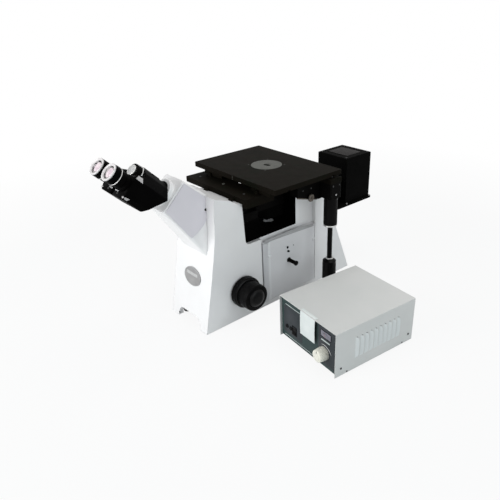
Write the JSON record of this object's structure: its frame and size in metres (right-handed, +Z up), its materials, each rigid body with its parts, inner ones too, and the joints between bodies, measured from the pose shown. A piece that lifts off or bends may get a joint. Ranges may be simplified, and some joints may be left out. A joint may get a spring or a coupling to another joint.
{
  "type": "inverted microscope",
  "caption": "Inverted microscope: specimen stage above a revolving nosepiece, binocular head at the front, lamp house behind, and a separate lamp power unit.",
  "frame": {"origin": "foot of the objective's optical axis on the table", "axes": "+X to the user's right, +Y away from the user, +Z up; the viewing head is at -Y"},
  "size_m": [0.5811, 0.7968, 0.4523],
  "materials": {
    "white_paint": "gloss enamel on cast aluminium",
    "grey_paint": "satin enamel",
    "lilac_grey_paint": "satin enamel",
    "black_paint": "semi-gloss",
    "black_anodised": "anodised",
    "black_plastic": "gloss",
    "satin_black_plastic": "satin",
    "ivory_plastic": "gloss",
    "light_metal": "satin",
    "steel": "ground",
    "bright_metal": "polished",
    "rubber": "matte",
    "lens_glass": "polished",
    "mirror": "front silvered",
    "panel_paint": "satin",
    "dark_core": "varnished"
  },
  "bodies": {
    "stand": {"stand_casting": "white_paint", "base_plate": "black_paint", "rubber_feet": "rubber", "side_cover_right": "grey_paint", "side_cover_left": "grey_paint", "front_plate": "light_metal", "bay_liner": "black_paint", "head_mount": "white_paint", "mount_cover_right": "lilac_grey_paint", "mount_cover_left": "lilac_grey_paint", "head_collar": "white_paint", "head_barrel": "black_anodised", "hinge_cap": "light_metal", "focus_guide": "steel", "lamp_tube": "black_anodised", "beam_splitter": "lens_glass", "collector_lens": "lens_glass", "lamp_house": "black_paint", "lamp_lid": "black_paint", "lamp_base": "black_paint", "lamp_bulb": "lens_glass", "optics_bridge": "black_anodised", "lower_mirror": "mirror", "lens_cell": "black_anodised", "tube_lens": "lens_glass", "stage_base": "black_anodised"},
    "nosepiece": {"focus_carriage": "black_anodised", "nosepiece_bracket": "black_anodised"},
    "coarse_focus": {"coarse_shaft": "steel", "coarse_knob_right": "black_plastic", "coarse_knob_left": "black_plastic"},
    "fine_focus": {"fine_shaft": "steel", "fine_knob_right": "black_plastic", "fine_knob_left": "black_plastic"},
    "revolver": {"turret": "black_anodised", "turret_plug": "black_plastic", "objective_low": "black_anodised", "objective_medium": "black_anodised", "objective_high": "black_anodised", "objective_long": "black_anodised"},
    "stage_y": {"stage_carriage": "black_anodised", "drive_housing": "black_anodised"},
    "stage_x": {"stage_top": "black_anodised"},
    "insert": {"stage_insert": "steel"},
    "stage_y_knob": {"y_knob": "black_plastic"},
    "stage_x_knob": {"x_knob": "black_plastic"},
    "right_box": {"prism_box_right": "satin_black_plastic"},
    "left_box": {"prism_box_left": "satin_black_plastic"},
    "right_eyepiece": {"eyepiece_right": "satin_black_plastic"},
    "diopter": {"diopter_ring": "bright_metal"},
    "left_eyepiece": {"eyepiece_left": "satin_black_plastic"},
    "selector": {"selector_slide": "black_anodised", "selector_prism": "lens_glass", "selector_rod": "black_anodised"},
    "power_unit": {"power_cover": "grey_paint", "power_chassis": "dark_core", "power_panel": "panel_paint", "power_feet": "rubber"},
    "brightness": {"brightness_knob": "ivory_plastic"},
    "mains_switch": {"power_switch": "black_plastic"}
  },
  "joints": [
    {"name": "nosepiece_lift", "type": "slide", "parent": "stand", "child": "nosepiece", "axis": [0, 0, 1], "range_m": [-0.008, 0.006]},
    {"name": "coarse_turn", "type": "hinge", "parent": "stand", "child": "coarse_focus", "pos_m": [0, -0.155, 0.08], "axis": [1, 0, 0], "range_deg": [-57.4, 76.5]},
    {"name": "fine_turn", "type": "hinge", "parent": "stand", "child": "fine_focus", "pos_m": [0, -0.155, 0.08], "axis": [1, 0, 0], "continuous": true},
    {"name": "revolver_turn", "type": "hinge", "parent": "nosepiece", "child": "revolver", "pos_m": [0, -0.02511, 0.29027], "axis": [0, -0.2588, 0.9659], "continuous": true},
    {"name": "stage_back", "type": "slide", "parent": "stand", "child": "stage_y", "axis": [0, 1, 0], "range_m": [-0.025, 0.025]},
    {"name": "stage_across", "type": "slide", "parent": "stage_y", "child": "stage_x", "axis": [1, 0, 0], "range_m": [-0.025, 0.025]},
    {"name": "insert_lift", "type": "slide", "parent": "stage_x", "child": "insert", "axis": [0, 0, 1], "range_m": [0, 0.02]},
    {"name": "stage_y_turn", "type": "hinge", "parent": "stage_y", "child": "stage_y_knob", "pos_m": [0.15, 0.08, 0.25], "axis": [0, 0, 1], "range_deg": [-239, 239]},
    {"name": "stage_x_turn", "type": "hinge", "parent": "stage_y", "child": "stage_x_knob", "pos_m": [0.15, 0.08, 0.08], "axis": [0, 0, 1], "range_deg": [-239, 239]},
    {"name": "right_box_swing", "type": "hinge", "parent": "stand", "child": "right_box", "pos_m": [0, -0.2975, 0.3535], "axis": [0, -0.7071, 0.7071], "range_deg": [-2.5, 25.5]},
    {"name": "left_box_swing", "type": "hinge", "parent": "stand", "child": "left_box", "pos_m": [0, -0.2975, 0.3535], "axis": [0, -0.7071, 0.7071], "range_deg": [-25.5, 2.5]},
    {"name": "right_eyepiece_pull", "type": "slide", "parent": "right_box", "child": "right_eyepiece", "axis": [0, -0.7071, 0.7071], "range_m": [0, 0.03]},
    {"name": "diopter_turn", "type": "hinge", "parent": "left_box", "child": "diopter", "pos_m": [-0.0265, -0.31977, 0.33123], "axis": [0, -0.7071, 0.7071], "range_deg": [-150, 150]},
    {"name": "left_eyepiece_pull", "type": "slide", "parent": "diopter", "child": "left_eyepiece", "axis": [0, -0.7071, 0.7071], "range_m": [0, 0.03]},
    {"name": "selector_push", "type": "slide", "parent": "stand", "child": "selector", "axis": [-1, 0, 0], "range_m": [0, 0.025]},
    {"name": "power_unit_shift", "type": "slide", "parent": "stand", "child": "power_unit", "axis": [1, 0, 0], "range_m": [0, 0.05]},
    {"name": "brightness_turn", "type": "hinge", "parent": "power_unit", "child": "brightness", "pos_m": [0.35654, -0.15522, 0.042], "axis": [-0.1158, -0.9933, 0], "range_deg": [-135, 135]},
    {"name": "mains_switch_tip", "type": "hinge", "parent": "power_unit", "child": "mains_switch", "pos_m": [0.25026, -0.14283, 0.038], "axis": [0.9933, -0.1158, 0], "range_deg": [0, 12]}
  ],
  "couplings": [
    {"joint": "coarse_turn", "follows": "nosepiece_lift", "rad_per_m": -166.67},
    {"joint": "stage_y_turn", "follows": "stage_back", "rad_per_m": 166.67},
    {"joint": "stage_x_turn", "follows": "stage_across", "rad_per_m": 166.67},
    {"joint": "left_box_swing", "follows": "right_box_swing", "ratio": -1}
  ]
}
